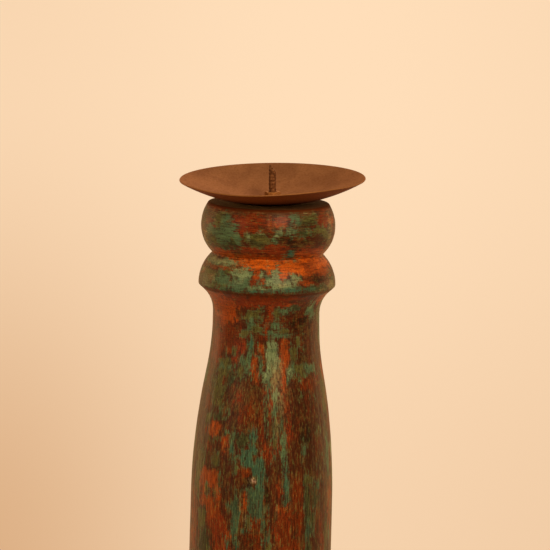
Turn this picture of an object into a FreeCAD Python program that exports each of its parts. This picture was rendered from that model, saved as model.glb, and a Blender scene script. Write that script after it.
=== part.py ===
import FreeCAD, Part
import math
import os

# Pricket candle stand. A turned wooden column stands on a round turned foot. A dished iron drip pan
# lies on the column's flat top, held by a nut on the spike that takes the candle.
# Millimetres, +Z up. The origin is the middle of the footprint, on the surface it stands on.
# The column's head, neck and belly and the pan, nut and spike are measured. What is below the belly's
# middle, and what is inside the wood, is how such a stand is usually made.

# Head of the column, from its flat top down
top_radius = 34.3
top_edge_round = 1.6
bun_radius = 38.2
bun_upper_height = 13.3
bun_lower_height = 15.6
crease_radius = 31.3
collar_radius = 39.0
collar_height = 17.6
collar_lip = 0.5

# Cove under the collar, neck and long bottle-shaped belly
cove_height = 15.45
cove_slope = 4.4
neck_radius = 30.35
neck_length = 4.6
bottle_length = 104.0
neck_sweep_share = 0.28
belly_radius = 40.55
belly_length = 40.0

# Lower end of the column, down to the shoulder that sits on the foot
haunch_length = 97.4
ankle_sweep_share = 0.21
ankle_radius = 26.0
ankle_length = 3.0
ring_radius = 32.0
ring_height = 11.0
instep_radius = 28.0
instep_length = 2.0
flange_radius = 34.0
flange_rise = 6.0
flange_edge = 4.0

# Round foot, from its rolled edge inwards and up, and the cork glued beneath it
foot_radius = 65.0
foot_roll_depth = 6.0
foot_roll_height = 20.0
foot_step_depth = 5.0
foot_step_height = 2.5
foot_cove_height = 15.5
foot_land_width = 4.0
foot_land_height = 2.0
foot_hollow_inset = 23.0
foot_hollow_depth = 1.5
cork_inset = 2.0
cork_thickness = 2.0

# Coach screw and washer that draw the foot against the column
screw_radius = 3.0
screw_length = 56.0
screw_point_length = 8.0
screw_head_flats = 10.0
screw_head_height = 4.0
screw_hole_clearance = 0.4
screw_end_gap = 1.0
screw_washer_radius = 8.5
screw_washer_thickness = 1.5

# Counterbore for the screw's head, and the column's tenon in its socket above it
counterbore_clearance = 1.0
counterbore_spare = 1.5
counterbore_floor = 4.5
tenon_radius = 11.0
tenon_chamfer = 1.0
tenon_end_gap = 1.0
tenon_clearance = 0.1

# Drip pan: a spun sheet bowl with a small flat middle, resting a little askew on the wood
pan_rim_radius = 53.1
pan_bowl_radius = 108.5
pan_flat_radius = 13.7
pan_knuckle_radius = 45.0
pan_thickness = 0.8
pan_offset = 2.2
pan_lean_forward_angle = 2.6
pan_lean_left_angle = 1.9
pan_seat_gap = 0.05

# Spike, square to the pan: pointed tang in the wood, groove where the thread runs out, filed point
spike_radius = 2.1
spike_height = 21.1
spike_point_length = 4.8
spike_point_spread = 0.2
spike_tip_offset = 1.25
spike_tip_width = 0.5
spike_groove_depth = 0.2
spike_groove_length = 0.7
tang_length = 34.0
tang_point_length = 6.0
tang_end_radius = 0.4
tang_end_gap = 1.5

# Nut and washer that hold the pan down
nut_flats = 8.0
nut_height = 3.4
nut_bore_gap = 0.05
washer_radius = 6.0
washer_thickness = 1.2
washer_bore_gap = 0.25

# Fit of screw and spike in the wood, and the chamfer that all hexagons have
wood_grip_gap = 0.05
hexagon_chamfer_angle = 30.0

# Spare length by which a cutting shape passes the face that it cuts
overrun = 5.0

Vector = FreeCAD.Vector
ORIGIN = Vector(0, 0, 0)
UP = Vector(0, 0, 1)
FULL_TURN = 360
HEXAGON_SIDES = 6

# Radii that follow from the foot's edge, the column's flange and the screw's washer
foot_flat_radius = foot_radius - foot_roll_depth
foot_step_radius = foot_flat_radius - foot_step_depth
foot_land_radius = flange_radius + foot_land_width
foot_hollow_radius = foot_flat_radius - foot_hollow_inset
cork_radius = foot_flat_radius - cork_inset
counterbore_radius = screw_washer_radius + counterbore_clearance
socket_radius = tenon_radius + tenon_clearance
screw_hole_radius = screw_radius + screw_hole_clearance
spike_hole_radius = spike_radius + washer_bore_gap

# Heights inside the foot, from the cork up
cork_top = cork_thickness
hollow_top = cork_top + foot_hollow_depth
screw_seat = hollow_top + counterbore_spare + screw_head_height
washer_seat = screw_seat + screw_washer_thickness
socket_bottom = washer_seat + counterbore_floor
tenon_bottom = socket_bottom + tenon_end_gap
screw_tip = screw_seat + screw_length

# Heights on the outside of the foot and the column, from the cork up
roll_top = cork_top + foot_roll_height
step_top = roll_top + foot_step_height
foot_cove_top = step_top + foot_cove_height
shoulder = foot_cove_top + foot_land_height
flange_top = shoulder + flange_edge
instep_bottom = flange_top + flange_rise
ring_bottom = instep_bottom + instep_length
ankle_bottom = ring_bottom + ring_height
ankle_top = ankle_bottom + ankle_length
belly_bottom = ankle_top + haunch_length
belly_top = belly_bottom + belly_length
neck_bottom = belly_top + bottle_length
neck_top = neck_bottom + neck_length
lip_bottom = neck_top + cove_height
lip_top = lip_bottom + collar_lip
crease = lip_top + collar_height
bun_middle = crease + bun_lower_height
wood_top = bun_middle + bun_upper_height

# Heights on the pan's own axis, from its underside up
nut_bottom = pan_thickness + washer_thickness
nut_top = nut_bottom + nut_height
point_bottom = spike_height - spike_point_length

# The cove leaves the neck upright and ends in a straight slope up to the lip. The cove's tangents
# cross at the bend.
cove_reach = collar_radius - neck_radius
cove_bend = (cove_reach ** 2 + cove_height ** 2 - cove_slope ** 2) / (cove_height + cove_slope) / 2
cove_turn = math.atan2(cove_reach, cove_height - cove_bend)

# The pan's bowl is part of a sphere on the pan's axis, and the knuckle runs into it without a corner
bowl_beyond_knuckle = pan_bowl_radius - pan_knuckle_radius
knuckle_turn = math.asin(pan_flat_radius / bowl_beyond_knuckle)
rim_turn = math.asin(pan_rim_radius / pan_bowl_radius)
bowl_middle_height = pan_knuckle_radius + bowl_beyond_knuckle * math.cos(knuckle_turn)

# The pan, spike, nut and washer share an axis that leans forward and to the left. The leaning pan
# touches the wood with its knuckle, which lifts its middle a little.
lean_left = math.sin(math.radians(pan_lean_left_angle))
lean_forward = math.sin(math.radians(pan_lean_forward_angle))
lean_aside = math.hypot(lean_left, lean_forward)
lean_up = math.sqrt(1 - lean_aside ** 2)
pan_lift = pan_flat_radius * lean_aside + pan_knuckle_radius * (1 - lean_up) + pan_seat_gap
pan_seat = Vector(pan_offset, 0, wood_top + pan_lift)
spike_direction = Vector(-lean_left, -lean_forward, lean_up)
pan_place = FreeCAD.Placement(pan_seat, FreeCAD.Rotation(UP, spike_direction))


def spot(radius, height):
    """A point of an outline, by its distance from the turning axis and its height."""
    return Vector(radius, 0, height)


def between(start, end, share):
    return start + (end - start) * share


def line(start, end):
    return Part.LineSegment(start, end).toShape()


def swell(upright, end):
    """The arc that runs straight up or down at its first point and ends at the second."""
    chord = end - upright
    radius = chord.dot(chord) / abs(chord.x) / 2
    half_turn = math.asin(min(1, chord.Length / radius / 2))
    reach = math.copysign(radius * (1 - math.cos(half_turn)), chord.x)
    rise = math.copysign(radius * math.sin(half_turn), chord.z)
    return Part.Arc(upright, upright + spot(reach, rise), end).toShape()


def wave(start, end, share):
    """Two arcs that leave both points upright and meet without a corner, a share of the way along."""
    join = between(start, end, share)
    return [swell(start, join), swell(end, join)]


def roll(low, high, widest):
    """The single rounded arc from one point to a higher one, out to the widest radius halfway."""
    return Part.Arc(low, spot(widest, (low.z + high.z) / 2), high).toShape()


def turned(edges, *corners):
    """A solid of revolution: the outline's edges, then straight lines through its corners."""
    lines = [line(start, end) for start, end in zip(corners, corners[1:])]
    outline = Part.Wire(Part.__sortEdges__(edges + lines))
    return Part.Face(outline).revolve(ORIGIN, UP, FULL_TURN)


def rod(radius, bottom, top):
    return Part.makeCylinder(radius, top - bottom, UP * bottom)


def ring(outer, inner, bottom, top):
    return rod(outer, bottom, top).cut(rod(inner, bottom - overrun, top + overrun))


def hexagon(flats, bottom, top):
    """A hexagon bar with its corners turned off at both ends, as on a nut or a screw's head."""
    corner = flats / 2 / math.cos(math.pi / HEXAGON_SIDES)
    fall = (corner - flats / 2) * math.tan(math.radians(hexagon_chamfer_angle))
    turns = [2 * math.pi * side / HEXAGON_SIDES for side in range(HEXAGON_SIDES + 1)]
    corners = [Vector(corner * math.cos(turn), corner * math.sin(turn), bottom) for turn in turns]
    prism = Part.Face(Part.makePolygon(corners)).extrude(UP * (top - bottom))
    envelope = turned(
        [],
        spot(0, bottom),
        spot(flats / 2, bottom),
        spot(corner, bottom + fall),
        spot(corner, top - fall),
        spot(flats / 2, top),
        spot(0, top),
        spot(0, bottom),
    )
    return prism.common(envelope)


def on_pan(shape):
    """The shape moved from the pan's own axis to its place on the column."""
    shape.Placement = pan_place
    return shape


def column():
    """The turned column, with its tenon, the spike's hole and the screw's pilot hole."""
    bun = spot(bun_radius, bun_middle)
    top_corner = spot(top_radius, wood_top)
    groove = spot(crease_radius, crease)
    lip = spot(collar_radius, lip_top)
    lip_low = spot(collar_radius, lip_bottom)
    neck = spot(neck_radius, neck_top)
    neck_low = spot(neck_radius, neck_bottom)
    belly = spot(belly_radius, belly_top)
    belly_low = spot(belly_radius, belly_bottom)
    ankle = spot(ankle_radius, ankle_top)
    ankle_low = spot(ankle_radius, ankle_bottom)
    instep = spot(instep_radius, ring_bottom)
    instep_low = spot(instep_radius, instep_bottom)
    flange = spot(flange_radius, flange_top)
    cove_end = neck + spot(math.sin(cove_turn), 1 + math.cos(cove_turn)) * cove_bend
    head = [swell(bun, top_corner), swell(bun, groove), swell(lip, groove), line(lip, lip_low)]
    cove = [line(lip_low, cove_end), swell(neck, cove_end), line(neck, neck_low)]
    body = wave(neck_low, belly, neck_sweep_share) + [line(belly, belly_low)]
    haunch = wave(ankle, belly_low, ankle_sweep_share) + [line(ankle, ankle_low)]
    lower = [roll(instep, ankle_low, ring_radius), line(instep, instep_low), swell(instep_low, flange)]
    wood = turned(
        head + cove + body + haunch + lower,
        flange,
        spot(flange_radius, shoulder),
        spot(tenon_radius, shoulder),
        spot(tenon_radius, tenon_bottom + tenon_chamfer),
        spot(tenon_radius - tenon_chamfer, tenon_bottom),
        spot(0, tenon_bottom),
        spot(0, wood_top),
        top_corner,
    )
    top_edges = [edge for edge in wood.Edges if edge.isClosed() and edge.CenterOfMass.z > bun_middle]
    wood = wood.makeFillet(top_edge_round, top_edges)
    spike_hole = on_pan(rod(spike_radius + wood_grip_gap, -tang_length - tang_end_gap, overrun))
    pilot_hole = rod(screw_radius + wood_grip_gap, 0, screw_tip + screw_end_gap)
    return wood.cut(spike_hole).cut(pilot_hole)


def foot():
    """The turned foot, with the column's socket above and the screw's counterbore below."""
    roll_low = spot(foot_flat_radius, cork_top)
    roll_high = spot(foot_flat_radius, roll_top)
    step_low = spot(foot_step_radius, roll_top)
    step_high = spot(foot_step_radius, step_top)
    land = spot(foot_land_radius, foot_cove_top)
    edge = [roll(roll_low, roll_high, foot_radius), line(roll_high, step_low), line(step_low, step_high)]
    wood = turned(
        edge + [swell(land, step_high)],
        land,
        spot(foot_land_radius, shoulder),
        spot(0, shoulder),
        spot(0, hollow_top),
        spot(foot_hollow_radius, hollow_top),
        spot(foot_hollow_radius, cork_top),
        roll_low,
    )
    socket = rod(socket_radius, socket_bottom, shoulder + overrun)
    counterbore = rod(counterbore_radius, 0, washer_seat)
    screw_hole = rod(screw_hole_radius, 0, shoulder)
    return wood.cut(socket).cut(counterbore).cut(screw_hole)


def cork_pad():
    return rod(cork_radius, 0, cork_top)


def foot_screw():
    """Coach screw with a hexagon head, driven upwards from the foot's underside."""
    shank = rod(screw_radius, screw_seat, screw_tip - screw_point_length)
    point = Part.makeCone(screw_radius, 0, screw_point_length, UP * (screw_tip - screw_point_length))
    head = hexagon(screw_head_flats, screw_seat - screw_head_height, screw_seat)
    return head.fuse(shank).fuse(point).removeSplitter()


def foot_screw_washer():
    return ring(screw_washer_radius, screw_hole_radius, screw_seat, washer_seat)


def drip_pan():
    """The dished sheet: flat middle, knuckle, bowl and square-cut rim, with a hole for the spike."""
    knuckle_middle = spot(pan_flat_radius, pan_knuckle_radius)
    bowl_middle = spot(0, bowl_middle_height)

    def station(middle, radius, turn):
        return middle + spot(math.sin(turn), -math.cos(turn)) * radius

    def sheet_arc(middle, radius, start, end):
        turns = (start, (start + end) / 2, end)
        return Part.Arc(*(station(middle, radius, turn) for turn in turns)).toShape()

    arcs = []
    for depth in (0, pan_thickness):
        arcs.append(sheet_arc(knuckle_middle, pan_knuckle_radius - depth, 0, knuckle_turn))
        arcs.append(sheet_arc(bowl_middle, pan_bowl_radius - depth, knuckle_turn, rim_turn))
    under_rim = station(bowl_middle, pan_bowl_radius, rim_turn)
    over_rim = station(bowl_middle, pan_bowl_radius - pan_thickness, rim_turn)
    arcs.append(line(under_rim, over_rim))
    return on_pan(turned(
        arcs,
        spot(pan_flat_radius, pan_thickness),
        spot(spike_hole_radius, pan_thickness),
        spot(spike_hole_radius, 0),
        spot(pan_flat_radius, 0),
    ))


def spike_washer():
    return on_pan(ring(washer_radius, spike_hole_radius, pan_thickness, nut_bottom))


def spike_nut():
    bore = rod(spike_radius + nut_bore_gap, 0, nut_top + overrun)
    return on_pan(hexagon(nut_flats, nut_bottom, nut_top).cut(bore))


def square(width, middle):
    """A level square wire about a middle point."""
    quarters = ((1, 1), (-1, 1), (-1, -1), (1, -1), (1, 1))
    return Part.makePolygon([middle + Vector(x, y, 0) * (width / 2) for x, y in quarters])


def pricket_spike():
    """The spike: pointed tang in the wood, groove above the nut, and a point filed to one side."""
    shank = rod(spike_radius, tang_point_length - tang_length, spike_height)
    tang_point = Part.makeCone(tang_end_radius, spike_radius, tang_point_length, UP * -tang_length)
    groove = ring(
        spike_radius + overrun, spike_radius - spike_groove_depth, nut_top, nut_top + spike_groove_length
    )
    tip = Vector(-spike_tip_offset, 0, spike_height)
    spread = 2 * (spike_radius + spike_point_spread)
    ends = [square(spread, UP * point_bottom), square(spike_tip_width, tip)]
    filed = Part.makeLoft(ends, True, True)
    filings = rod(spike_radius + overrun, point_bottom, spike_height + overrun).cut(filed)
    return on_pan(shank.fuse(tang_point).cut(groove).cut(filings).removeSplitter())


PIECES = (
    column, foot, cork_pad, foot_screw, foot_screw_washer, drip_pan, spike_washer, spike_nut, pricket_spike
)

os.makedirs("parts", exist_ok=True)
for piece in PIECES:
    shape = piece()
    shape.exportStep("parts/" + piece.__name__ + ".step")
    print(piece.__name__, len(shape.Solids), "solid, valid", shape.isValid(), round(shape.Volume, 1), "mm3")
print("wood top", round(wood_top, 3), "pan lift", round(pan_lift, 4), "spike direction", spike_direction)
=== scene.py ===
import math

import bmesh
import bpy
import numpy as np
from mathutils import Matrix, Vector


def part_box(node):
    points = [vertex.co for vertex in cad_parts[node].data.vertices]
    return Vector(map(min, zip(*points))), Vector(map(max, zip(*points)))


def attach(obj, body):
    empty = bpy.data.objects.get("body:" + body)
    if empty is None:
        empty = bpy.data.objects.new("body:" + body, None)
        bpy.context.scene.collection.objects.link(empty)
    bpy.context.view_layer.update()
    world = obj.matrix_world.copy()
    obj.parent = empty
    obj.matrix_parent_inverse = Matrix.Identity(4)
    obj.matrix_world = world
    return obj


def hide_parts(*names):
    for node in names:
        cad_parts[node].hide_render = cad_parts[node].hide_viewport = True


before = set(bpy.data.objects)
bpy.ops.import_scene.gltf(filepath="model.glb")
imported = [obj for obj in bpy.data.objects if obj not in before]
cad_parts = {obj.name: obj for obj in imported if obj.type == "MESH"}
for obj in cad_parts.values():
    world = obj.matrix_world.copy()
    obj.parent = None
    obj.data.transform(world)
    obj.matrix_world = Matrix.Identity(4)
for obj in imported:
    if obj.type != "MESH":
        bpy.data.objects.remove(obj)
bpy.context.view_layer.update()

# Dressed model of the pricket candle stand: painted turned wood, copper-brown drip pan, rusted spike.
# Outlines are written in millimetres from the top down, in the CAD's own sizes. Objects are in metres.
# Angle 0 of the paint faces the viewer (-Y), and positive angles go to +X.

MM = 0.001
column_low, column_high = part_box("column")
WOOD_TOP = column_high.z / MM

# Column, from its flat top down
top_radius = 34.3
top_edge_round = 1.6
bun_radius = 38.2
bun_upper_height = 13.3
bun_lower_height = 15.6
crease_radius = 31.3
collar_radius = 39.0
collar_height = 17.6
collar_lip = 0.5
cove_height = 15.45
cove_slope = 4.4
neck_radius = 30.35
neck_length = 4.6
bottle_length = 104.0
neck_sweep_share = 0.28
belly_radius = 40.55
belly_length = 40.0
haunch_length = 97.4
ankle_sweep_share = 0.21
ankle_radius = 26.0
ankle_length = 3.0
ring_radius = 32.0
ring_height = 11.0
instep_radius = 28.0
instep_length = 2.0
flange_radius = 34.0
flange_rise = 6.0
flange_edge = 4.0
tenon_radius = 11.0
tenon_chamfer = 1.0

# Foot and cork
foot_radius = 65.0
foot_roll_depth = 6.0
foot_roll_height = 20.0
foot_step_depth = 5.0
foot_step_height = 2.5
foot_cove_height = 15.5
foot_land_width = 4.0
foot_hollow_inset = 23.0
foot_hollow_depth = 1.5
cork_inset = 2.0
cork_thickness = 2.0
socket_radius = 11.1
socket_floor = 15.0
screw_hole_radius = 3.4
counterbore_radius = 9.5
counterbore_top = 10.5

# Pan, spike, nut and washer
pan_rim_radius = 53.1
pan_bowl_radius = 108.5
pan_flat_radius = 13.7
pan_knuckle_radius = 45.0
pan_thickness = 0.8
pan_offset = 2.2
pan_lean_forward = 2.6
pan_lean_left = 1.9
pan_seat_gap = 0.05
spike_radius = 2.1
spike_height = 21.1
spike_point_length = 4.8
spike_point_spread = 0.2
spike_tip_offset = 1.25
spike_tip_width = 0.5
tang_length = 34.0
tang_point_length = 6.0
nut_flats = 8.0
nut_height = 3.4
washer_radius = 6.0
washer_thickness = 1.2
hole_radius = 2.35

# Heights of the stations, from the surface that the stand rests on
bun_middle = WOOD_TOP - bun_upper_height
crease = bun_middle - bun_lower_height
lip_top = crease - collar_height
lip_bottom = lip_top - collar_lip
neck_top = lip_bottom - cove_height
neck_bottom = neck_top - neck_length
belly_top = neck_bottom - bottle_length
belly_bottom = belly_top - belly_length
ankle_top = belly_bottom - haunch_length
ankle_bottom = ankle_top - ankle_length
ring_bottom = ankle_bottom - ring_height
instep_bottom = ring_bottom - instep_length
flange_top = instep_bottom - flange_rise
shoulder = flange_top - flange_edge
roll_top = cork_thickness + foot_roll_height
step_top = roll_top + foot_step_height
foot_cove_top = step_top + foot_cove_height
tenon_bottom = column_low.z / MM
hollow_top = cork_thickness + foot_hollow_depth
foot_flat_radius = foot_radius - foot_roll_depth
foot_step_radius = foot_flat_radius - foot_step_depth
foot_land_radius = flange_radius + foot_land_width
foot_hollow_radius = foot_flat_radius - foot_hollow_inset
cork_radius = foot_flat_radius - cork_inset


# Outlines

def straight(*points):
    return np.array(points, float)


def swell(upright, end):
    """Points of the arc that runs straight up or down at its first point and ends at the second."""
    (x0, z0), (x1, z1) = upright, end
    dx, dz = x1 - x0, z1 - z0
    radius = (dx * dx + dz * dz) / abs(dx) / 2
    turn = 2 * math.asin(min(1.0, math.hypot(dx, dz) / radius / 2))
    turns = np.linspace(0, turn, 48)
    x = x0 + math.copysign(radius, dx) * (1 - np.cos(turns))
    z = z0 + math.copysign(radius, dz) * np.sin(turns)
    return np.column_stack([x, z])


def wave(start, end, share):
    """Two arcs that leave both points upright and meet without a corner, a share of the way along."""
    join = np.array(start) + (np.array(end) - np.array(start)) * share
    return np.vstack([swell(start, join), swell(end, join)[::-1]])


def roll(high, low, widest):
    """The rounded arc from a point to a lower one, out to the widest radius halfway down."""
    start, end = complex(*high), complex(*low)
    across = (complex(widest, (high[1] + low[1]) / 2) - start) / (end - start)
    middle = start + (end - start) * (across - abs(across) ** 2) / (2j * across.imag)
    turns = np.linspace(np.angle(start - middle), np.angle(end - middle), 96)
    arc = middle + abs(start - middle) * np.exp(1j * turns)
    return np.column_stack([arc.real, arc.imag])


def spaced(points, closed, gap):
    """The same line with points an even gap apart."""
    if closed:
        points = np.vstack([points, points[:1]])
    along = np.concatenate([[0], np.cumsum(np.linalg.norm(np.diff(points, axis=0), axis=1))])
    at = np.linspace(0, along[-1], max(8, int(along[-1] / gap)) + 1)
    if closed:
        at = at[:-1]
    return np.column_stack([np.interp(at, along, points[:, 0]), np.interp(at, along, points[:, 1])])


def softened(points, spread, closed=False, coarse=0.9, fine=0.18, hidden_below=-math.inf):
    """Rounds the outline's corners by about the spread, and keeps more points where it bends more."""
    gap = 0.1
    line = spaced(points, closed, gap)
    reach = int(4 * spread / gap) + 1
    kernel = np.exp(-0.5 * (np.arange(-reach, reach + 1) * gap / spread) ** 2)
    kernel /= kernel.sum()
    if closed:
        padded = np.vstack([line[-reach:], line, line[:reach]])
    else:
        before = 2 * line[0] - line[reach:0:-1]
        after = 2 * line[-1] - line[-2:-reach - 2:-1]
        padded = np.vstack([before, line, after])
    smooth = np.column_stack([np.convolve(padded[:, i], kernel, "valid") for i in (0, 1)])
    ahead = np.roll(smooth, -3, axis=0) - smooth
    behind = smooth - np.roll(smooth, 3, axis=0)
    bend = np.abs(ahead[:, 0] * behind[:, 1] - ahead[:, 1] * behind[:, 0])
    bend /= np.maximum(np.linalg.norm(ahead, axis=1) * np.linalg.norm(behind, axis=1), 1e-9) * 3 * gap
    if not closed:
        bend[:4] = bend[4]
        bend[-4:] = bend[-5]
    step = np.clip(np.sqrt(0.08 / np.maximum(bend, 1e-6)), fine, coarse)
    step = np.where(smooth[:, 1] < hidden_below, 3.0, step)
    density = np.concatenate([[0], np.cumsum(gap / step)[:-1]])
    count = int(round(density[-1]))
    at = np.linspace(0, density[-1], count + 1)
    if closed:
        at = at[:-1]
    return np.column_stack([np.interp(at, density, smooth[:, 0]), np.interp(at, density, smooth[:, 1])])


# Turned meshes

def put(name, data):
    """A new object in the scene."""
    made = bpy.data.objects.new(name, data)
    bpy.context.scene.collection.objects.link(made)
    return made


def turned_mesh(name, outline, around, shift=None, closed=False):
    """Mesh turned from an outline that runs from the top's middle out, down and in again, or round a ring.

    shift takes the grids of angle (degrees), radius and height, and returns the change of radius in
    millimetres. The vertices are kept in rows, one for each point of the outline that is off the axis.
    """
    rows = outline[outline[:, 0] > 1e-4]
    turns = (np.arange(around) / around - 0.5) * 2 * math.pi
    angle, radius = np.meshgrid(turns, rows[:, 0])
    height = np.repeat(rows[:, 1:2], around, axis=1)
    if shift is not None:
        radius = radius + shift(np.degrees(angle), radius, height)
    verts = np.stack([radius * np.sin(angle), -radius * np.cos(angle), height], -1).reshape(-1, 3)
    grid = np.arange(len(verts)).reshape(len(rows), around)
    if closed:
        grid = np.vstack([grid, grid[:1]])
    beside = np.roll(grid, -1, axis=1)
    polygons = np.stack([grid[:-1], grid[1:], beside[1:], beside[:-1]], -1).reshape(-1, 4).tolist()
    if not closed:
        pole = np.full(around, len(verts))
        polygons += np.column_stack([pole, grid[0], beside[0]]).tolist()
        polygons += np.column_stack([pole + 1, beside[-1], grid[-1]]).tolist()
        verts = np.vstack([verts, [0, 0, outline[0, 1]], [0, 0, outline[-1, 1]]])
    mesh = bpy.data.meshes.new(name)
    mesh.from_pydata((verts * MM).tolist(), [], polygons)
    mesh.validate()
    mesh.shade_smooth()
    return put(name, mesh), np.degrees(angle).ravel(), radius.ravel(), height.ravel()


def fade(value, start, end):
    """0 at the start and before it, 1 at the end and beyond it."""
    return np.clip((value - start) / (end - start), 0, 1)


def peak(value, middle, reach):
    """1 in the middle, and 0 from its reach on to both sides."""
    return np.clip(1 - np.abs(value - middle) / reach, 0, 1)


def ripple(seed, angle, height, around, cell):
    """Smooth random values in -1..1 over the turned surface: cells around it, and a cell's height in mm."""
    low, high = height.min(), height.max()
    rows = int((high - low) / cell) + 3
    grid = np.random.default_rng(seed).uniform(-1, 1, (rows, around))
    u = (angle / 360 + 0.5) * around
    v = (height - low) / cell
    u0, v0 = np.floor(u).astype(int), np.floor(v).astype(int)
    fu, fv = u - u0, v - v0
    fu, fv = fu * fu * (3 - 2 * fu), fv * fv * (3 - 2 * fv)
    a, b = u0 % around, (u0 + 1) % around
    lower = grid[v0, a] * (1 - fu) + grid[v0, b] * fu
    upper = grid[v0 + 1, a] * (1 - fu) + grid[v0 + 1, b] * fu
    return lower * (1 - fv) + upper * fv


def bump_at(angle, height, radius, at_angle, at_height, half_width, half_height):
    """A round-topped patch, 1 in its middle and 0 from its edge out. Sizes in mm, angle in degrees."""
    across = np.radians((angle - at_angle + 180) % 360 - 180) * radius / half_width
    along = (height - at_height) / half_height
    return np.clip(1 - across ** 2 - along ** 2, 0, 1)


# Materials

WHITE = (1.0, 1.0, 1.0, 1.0)


class Value:
    """A node's output, which can be added to, taken from or multiplied by numbers and other outputs."""

    def __init__(self, nodes, socket):
        self.nodes = nodes
        self.socket = socket

    def __add__(self, other):
        return self.nodes.math("ADD", self, other)

    def __sub__(self, other):
        return self.nodes.math("SUBTRACT", self, other)

    def __mul__(self, other):
        return self.nodes.math("MULTIPLY", self, other)


class Nodes:
    """The node tree of a material or a world, with short calls for the nodes that are used here."""

    def __init__(self, owner, output):
        owner.use_nodes = True
        self.owner = owner
        self.tree = owner.node_tree
        self.tree.nodes.clear()
        self.output = self.tree.nodes.new(output)

    def add(self, kind, inputs, output=0, **values):
        """Adds a node, sets or links its inputs, and gives back one of its outputs."""
        made = self.tree.nodes.new(kind)
        for key, value in values.items():
            setattr(made, key, value)
        for key, value in inputs.items():
            if isinstance(value, Value):
                self.tree.links.new(value.socket, made.inputs[key])
            else:
                made.inputs[key].default_value = value
        return Value(self, made.outputs[output])

    def end(self, shown):
        """Joins the finished shader to the tree's output."""
        self.tree.links.new(shown.socket, self.output.inputs["Surface"])
        return self.owner

    def math(self, operation, *values):
        return self.add("ShaderNodeMath", dict(enumerate(values)), operation=operation)

    def parts(self, vector):
        """A vector's three numbers."""
        made = self.add("ShaderNodeSeparateXYZ", {0: vector}).socket.node
        return [Value(self, socket) for socket in made.outputs]

    def noise(self, vector, scale, detail=3.0, roughness=0.6, distortion=0.0):
        return self.add("ShaderNodeTexNoise", {
            "Vector": vector, "Scale": scale, "Detail": detail, "Roughness": roughness,
            "Distortion": distortion
        })

    def ramp(self, value, low, high, to_low=0.0, to_high=1.0):
        """A smooth step, from to_low where the value is low to to_high where it is high."""
        return self.add("ShaderNodeMapRange", {
            "Value": value, "From Min": low, "From Max": high, "To Min": to_low, "To Max": to_high
        }, interpolation_type="SMOOTHSTEP")

    def mix(self, share, a, b, blend="MIX"):
        """Colour a at share 0 and colour b at share 1."""
        return self.add("ShaderNodeMix", {0: share, 6: a, 7: b}, 2, data_type="RGBA", blend_type=blend)

    def blend(self, share, a, b):
        """Number a at share 0 and number b at share 1."""
        return self.add("ShaderNodeMix", {0: share, 2: a, 3: b}, data_type="FLOAT")


class Shader(Nodes):
    """A material."""

    def __init__(self, name):
        super().__init__(bpy.data.materials.new(name), "ShaderNodeOutputMaterial")

    def position(self, across=1.0, along=1.0, shift=(0, 0, 0)):
        """Object coordinates in millimetres, scaled across and along the turning axis, then shifted."""
        where = self.add("ShaderNodeTexCoord", {}, "Object")
        scale = (across / MM, across / MM, along / MM)
        return self.add("ShaderNodeMapping", {"Vector": where, "Scale": scale, "Location": shift})

    def from_axis(self):
        """Millimetres from the turning axis."""
        x, y, _ = self.parts(self.position())
        return self.math("SQRT", x * x + y * y)

    def attribute(self, name, output="Fac"):
        return self.add("ShaderNodeAttribute", {}, output, attribute_name=name)

    def relief(self, height, strength, distance):
        return self.add("ShaderNodeBump", {"Height": height, "Strength": strength, "Distance": distance * MM})

    def surface(self, color, roughness, normal=None, metallic=0.0, specular=0.5, gloss=WHITE, sheen=0.0,
                coat=0.0):
        inputs = {
            "Base Color": color, "Roughness": roughness, "Metallic": metallic,
            "Specular IOR Level": specular, "Specular Tint": gloss,
            "Sheen Weight": sheen, "Sheen Roughness": 0.25, "Sheen Tint": gloss,
            "Coat Weight": coat, "Coat Roughness": 0.34
        }
        if normal:
            inputs.update({"Normal": normal, "Coat Normal": normal})
        return self.add("ShaderNodeBsdfPrincipled", inputs)


def tone(red, green, blue):
    """A colour given as it looks on the screen, 0 to 255, as the linear values that a shader takes."""
    channels = []
    for value in (red, green, blue):
        share = value / 255
        channels.append(share / 12.92 if share <= 0.04045 else ((share + 0.055) / 1.055) ** 2.4)
    return (*channels, 1.0)


# Paint colours, by the layer that they belong to
WOOD = {"maroon": tone(64, 24, 7), "dark": tone(34, 14, 4), "brown": tone(84, 42, 15)}
RUST = {
    "red": tone(118, 37, 4), "rust": tone(146, 56, 8), "orange": tone(188, 77, 10), "ember": tone(104, 34, 3)
}
GREEN = {
    "green": tone(76, 95, 58), "pale": tone(118, 126, 78), "teal": tone(56, 87, 59), "deep": tone(54, 75, 48),
    "jade": tone(26, 88, 66), "olive": tone(84, 76, 32), "moss": tone(50, 52, 24)
}
# Wax and glints: tan is light wax wear, and along the silhouettes and the wood's top edge it is painted
# highlight; the bone colour is painted highlight only
WAX_AND_GLINT = {"tan": tone(152, 122, 70), "bone": tone(240, 182, 140)}
LAYERS = {"wood": WOOD, "rust": RUST, "green": GREEN, "wax_and_glint": WAX_AND_GLINT}


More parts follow.
